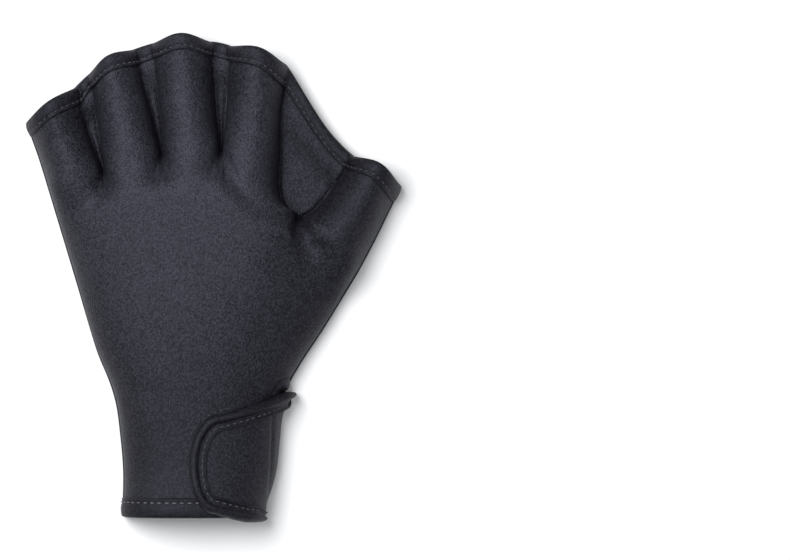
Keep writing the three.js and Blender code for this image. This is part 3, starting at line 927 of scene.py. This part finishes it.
def strap_face(depth):
    along = mix((SKIN_INSET + STRAP_TUCK) / STRAP_LENGTH, 1, STRAP_SHARES)[:, None]
    upper, lower = strap_edges_at(along, SKIN_INSET)
    face = over_cuff(along, mix(upper, lower, ACROSS_SHARES[None, :]), depth)
    if depth == STRAP_OUTER:
        face += grid_normals(face) * crease_height(face[..., 0], face[..., 1], STRAP_CREASES)[..., None]
    return face


def strap_foot(face, turn_in, floor, steps=6):
    """Lines that carry the strap's face down the side to the palm and turn it under."""
    lines = []
    for k in range(1, steps + 1):
        turn = 0.5 * math.pi * k / steps
        line = face[-1].copy()
        line[:, 2] = mix(line[:, 2], floor, math.sin(turn))
        line[:, 0] -= turn_in * (1 - math.cos(turn))
        lines.append(line)
    return np.concatenate([face, np.array(lines)])


strap_top = strap_foot(strap_face(STRAP_OUTER), turn_in=2.2, floor=0.15)
strap_low = strap_foot(strap_face(STRAP_INNER), turn_in=0.05, floor=0.6)
strap_shape = closed_sheet(strap_top, strap_low, STRAP_ROUND)
strap = piece("strap_skin", strap_shape, NEOPRENE, ["wrist_strap"])


def strap_edge_path(tip_steps=60, side_steps=80, steps=420, easing=12):
    """The strap's free edge: millimetres along it and up the glove, evenly spaced, and the way in."""
    shoulder = STRAP_EDGES[0, 0]
    turns = np.linspace(0, np.pi / 2, tip_steps)
    tip = mix(STRAP_TUCK / STRAP_LENGTH, shoulder, 1 - np.cos(turns))
    straight = np.linspace(shoulder, 1, side_steps)[1:]
    along = np.concatenate([tip, straight])
    upper, lower = strap_edges_at(along)
    path = np.concatenate([
        np.column_stack([along, upper])[::-1],
        np.column_stack([along, lower])[1:],
    ])
    path[:, 0] *= STRAP_LENGTH
    lengths = lengths_along(path)
    even = np.linspace(0, lengths[-1], steps)
    path = np.column_stack([np.interp(even, lengths, path[:, k]) for k in (0, 1)])
    path = eased(path, easing)
    way = unit(np.gradient(path, axis=0))
    return path, np.column_stack([-way[:, 1], way[:, 0]])


# The strap's binding is squeezed near both ends: by what share, and over how many millimetres
END_SQUEEZE = 0.4
END_REACH = 3.5
EDGE_PATH, EDGE_IN = strap_edge_path()
EDGE_STEP = float(np.linalg.norm(EDGE_PATH[1] - EDGE_PATH[0]))
from_top = np.arange(len(EDGE_PATH)) * EDGE_STEP
from_end = np.minimum(from_top, from_top[::-1])
EDGE_SQUEEZE = 1 - END_SQUEEZE * np.exp(-((from_end / END_REACH) ** 2))


def by_strap_edge(inward, depth):
    place = EDGE_PATH + EDGE_IN * inward * EDGE_SQUEEZE[:, None]
    return over_cuff(place[:, 0] / STRAP_LENGTH, place[:, 1], depth)


# The strap's binding: a roll round its edge, and a stitched flange that ends in a thin ridge.
# Places are inwards from the edge. The roll's top and foot are depths under the back's outer face,
# and the other heights are from the strap's faces.
ROLL_FROM, ROLL_TO = -0.3, 4.0
ROLL_TOP, ROLL_FOOT = STRAP_OUTER - 1.5, -0.35
ROLL_STEPS = 30
FLANGE = [
    (7.2, 0.03), (7.1, 0.7), (6.85, 1.05), (6.5, 0.85), (6.15, 0.25), (5.7, 0.1), (4.9, 0.1),
    (4.3, 0.15),
]
UNDER_FLANGE = [(5.4, 0.6), (6.0, 0.05)]
UNDER_START = 0.9
SLOT_PLACE = 0.6
SLOT_CLEARANCE = 0.05

# Its pucker, its swelling near the upper end, and its ends: height and share of narrowing
ROLL_PUCKER = 0.02
PUCKER_PITCH = 6.2
SWELLING = 0.28
SWELLING_AT = 1.5
ROLL_END = 1.2
ROLL_NARROWING = 0.35


def roll_section():
    """Outline of the strap's binding as (inwards, depth), once round."""
    middle, half = (ROLL_FROM + ROLL_TO) / 2, (ROLL_TO - ROLL_FROM) / 2
    centre, reach = (ROLL_TOP + ROLL_FOOT) / 2, (ROLL_FOOT - ROLL_TOP) / 2
    start = math.asin((centre - STRAP_OUTER + FLANGE[-1][1]) / reach)
    end = 2 * math.pi - math.asin((STRAP_INNER + UNDER_START - centre) / reach)
    turns = np.linspace(start, end, ROLL_STEPS)
    arc = [(middle + half * math.cos(t), centre - reach * math.sin(t)) for t in turns]
    over = [(x, STRAP_OUTER - h) for x, h in FLANGE]
    under = [(x, STRAP_INNER + h) for x, h in UNDER_FLANGE]
    slot = [(SLOT_PLACE, STRAP_INNER + SLOT_CLEARANCE), (SLOT_PLACE, STRAP_OUTER - SLOT_CLEARANCE)]
    return over + arc + under + slot


roll = np.array([by_strap_edge(x, d) for x, d in roll_section()]).transpose(1, 0, 2)
roll = pucker(roll, ROLL_PUCKER, PUCKER_PITCH)
swollen = 1 + SWELLING * np.exp(-(((from_top - SWELLING_AT) / END_REACH) ** 2))
middles = roll.mean(1, keepdims=True)
roll = middles + (roll - middles) * swollen[:, None, None]


def turned_down(ring):
    """Two more sections that carry the end of the roll down towards the palm and narrow it."""
    middle = ring.mean(0)
    ends = []
    for share in (0.5, 1.0):
        drop = np.array([0, 0, (middle[2] - ROLL_END) * share])
        ends.append(middle + (ring - middle) * (1 - ROLL_NARROWING * share) - drop)
    return ends


roll = np.concatenate([turned_down(roll[0])[::-1], roll, turned_down(roll[-1])])
piece("strap_roll", swept(roll), TAPE_CLOTH, ["strap_binding"])

# The hidden fastening: its ends as shares of the strap's length and its edges of the width there
PATCH = dict(start=0.26, end=0.6, upper=0.2, lower=0.7)
PATCH_STEPS = 41
PATCH_ROUND = 0.2
patch_along = mix(PATCH["start"], PATCH["end"], np.linspace(0, 1, PATCH_STEPS))[:, None]
patch_across = mix(PATCH["upper"], PATCH["lower"], np.linspace(0, 1, PATCH_STEPS))[None, :]
patch_y = mix(*strap_edges_at(patch_along), patch_across)
patch_top, patch_low = [over_cuff(patch_along, patch_y, d) for d in (GAP - STRAP_OFFSET, -GAP)]
patch_shape = closed_sheet(patch_top, patch_low, PATCH_ROUND)
piece("hook_tape", patch_shape, HOOKS, ["hook_patch"])

# A stitch: its rings and sides, how far the first one lies along the path and how far each is off
# its place, as shares of the pitch, the look ahead that gives its way, and as shares of its
# thickness its ends, its rise and how deep it sinks in
STITCH_RINGS = 6
STITCH_SIDES = 6
STITCH_START = 0.4
STITCH_SCATTER = 0.06
STITCH_AHEAD = 0.3
STITCH_ENDS = 0.45
STITCH_RISE = 0.75
STITCH_SINK = 0.25


def read_at(place, lengths, points):
    return np.array([np.interp(place, lengths, points[:, k]) for k in range(3)])


def stitches(path, normals, pitch, length, thick):
    """Short threads along a path, each dipping into the cloth at both ends."""
    lengths = lengths_along(path)
    turns = np.linspace(0, 2 * np.pi, STITCH_SIDES + 1)[:-1, None]
    parts = []
    for start in np.arange(STITCH_START * pitch, lengths[-1] - length, pitch):
        start += rng.uniform(-STITCH_SCATTER, STITCH_SCATTER) * pitch
        rings = []
        for t in np.linspace(0, 1, STITCH_RINGS):
            place = start + t * length
            middle = read_at(place, lengths, path)
            up = unit(read_at(place, lengths, normals))
            ahead = read_at(place + STITCH_AHEAD, lengths, path) - middle
            side = unit(np.cross(up, ahead))
            hump = math.sin(math.pi * t)
            radius = thick / 2 * mix(STITCH_ENDS, 1, hump)
            middle = middle + up * thick * (STITCH_RISE * hump - STITCH_SINK)
            rings.append(middle + radius * (np.cos(turns) * side + np.sin(turns) * up))
        parts.append(swept(np.array(rings)))
    return joined(parts)


def stitched(name, at, material, **stitch):
    """Stitches along the path that at(depth) gives; at(0) lies on the cloth, and smaller is higher."""
    up = unit(at(-0.5) - at(0.5))
    return piece(name, stitches(at(0.0), up, **stitch), material)


# Where the threads run: across the tapes, as a share of their width, and inwards from the strap's
# edge, in millimetres. The lifts say how high they lie over the sheets.
SEWN_AT = 0.74
STRAP_SEWN_AT = 5.35
BINDING_LIFT = 0.72
HEM_LIFT = 0.74
PALM_LIFT = 0.53
STRAP_LIFT = 0.12
TAB_LIFT = 0.45
SEAM_LIFT = 0.22


def sewn(line, tape, depth):
    return line(tape["strips"], tape["row_at"](SEWN_AT * tape["width"]), depth)


stitched("binding_stitches", lambda d: sewn(back_line, BINDING, d - BINDING_LIFT), THREAD,
         pitch=3.3, length=1.7, thick=0.5)
stitched("hem_stitches", lambda d: sewn(back_line, HEM, d - HEM_LIFT), PALE_THREAD,
         pitch=3.5, length=1.9, thick=0.65)
stitched("strap_stitches", lambda d: by_strap_edge(STRAP_SEWN_AT, STRAP_OUTER - STRAP_LIFT + d), THREAD,
         pitch=3.1, length=1.8, thick=0.45)
stitched("palm_binding_stitches", lambda d: sewn(palm_line, BINDING, WALL + PALM_LIFT - d), THREAD,
         pitch=3.3, length=1.7, thick=0.45)
stitched("palm_hem_stitches", lambda d: sewn(palm_line, HEM, WALL + PALM_LIFT - d), THREAD,
         pitch=3.5, length=1.9, thick=0.5)

# The seams that hold the webs of both panels together, seen on the palm: out along one finger's
# foot and back along the next one's
SEAM_ROWS = [Row(out=w) for w in np.linspace(1.0, 0.0, 40)]
SEAM_EASING = 2
for web in range(LAST):
    inwards = [feet(web, row, 0)[1] for row in SEAM_ROWS]
    outwards = [feet(web + 1, row, 0)[0] for row in SEAM_ROWS[::-1]]
    seam = eased(np.array(inwards + outwards), SEAM_EASING)
    seam = np.column_stack([seam, np.full(len(seam), SEAM_LIFT)])
    downwards = np.tile([0.0, 0.0, -1.0], (len(seam), 1))
    seam_shape = stitches(seam, downwards, pitch=2.6, length=1.5, thick=0.35)
    piece(f"web_seam_{web + 1}", seam_shape, THREAD)

# The stitch line that shows on the back beside the strap: pixels of the photograph
BESIDE_STRAP = [
    (232.5, 407), (221, 410), (210, 414.5), (203, 419), (198, 424), (192, 434), (188, 445), (187, 470),
]
beside = Line([photo_place(*p) for p in BESIDE_STRAP]).at(np.linspace(0, 1, 120))
stitched("tab_stitches", lambda d: cuff_point(beside[:, 0], beside[:, 1], d - TAB_LIFT), THREAD,
         pitch=2.9, length=1.6, thick=0.35)

# The floor, a little below the glove so that their faces don't meet, the lights and the camera
FLOOR_SIZE = 12
FLOOR_DROP = 0.0002
floor_material, _, floor_shader = new_material("pale_floor")
floor_shader.inputs["Base Color"].default_value = (0.9, 0.9, 0.905, 1)
floor_shader.inputs["Roughness"].default_value = 0.9
bpy.ops.mesh.primitive_plane_add(size=FLOOR_SIZE, location=(0, 0, cad_box[0].z - FLOOR_DROP))
floor = bpy.context.object
floor.name = "floor"
floor.data.materials.append(floor_material)


def area_light(name, place, size, power, aim=(0, 0, 0)):
    light = bpy.data.lights.new(name, "AREA")
    light.shape, light.size, light.energy = "DISK", size, power
    lamp = bpy.data.objects.new(name, light)
    lamp.location = place
    lamp.rotation_mode = "QUATERNION"
    lamp.rotation_quaternion = (Vector(aim) - Vector(place)).to_track_quat("-Z", "Y")
    lamp.visible_camera = False
    bpy.context.scene.collection.objects.link(lamp)


area_light("key", place=(-0.55, 0.4, 1.35), size=0.95, power=24)
area_light("fill", place=(0.25, -0.1, 1.7), size=1.4, power=5)
world = bpy.data.worlds.new("studio")
world.use_nodes = True
sky = world.node_tree.nodes["Background"]
sky.inputs["Color"].default_value = (0.95, 0.97, 1, 1)
sky.inputs["Strength"].default_value = 0.36
bpy.context.scene.world = world
bpy.context.scene.view_settings.view_transform = "Standard"

CAMERA_HEIGHT = 3.0
CAMERA_REACH = 50
view_x = (PHOTO_SIZE[0] / 2 - MIDDLE_PIXEL[0]) * PIXEL * MM
view_y = (MIDDLE_PIXEL[1] - PHOTO_SIZE[1] / 2) * PIXEL * MM
camera = bpy.data.cameras.new("camera")
camera.lens = camera.sensor_width * CAMERA_HEIGHT / (PHOTO_SIZE[0] * PIXEL * MM)
camera.clip_end = CAMERA_REACH
eye = bpy.data.objects.new("camera", camera)
eye.location = (view_x, view_y, CAMERA_HEIGHT)
bpy.context.scene.collection.objects.link(eye)
bpy.context.scene.camera = eye
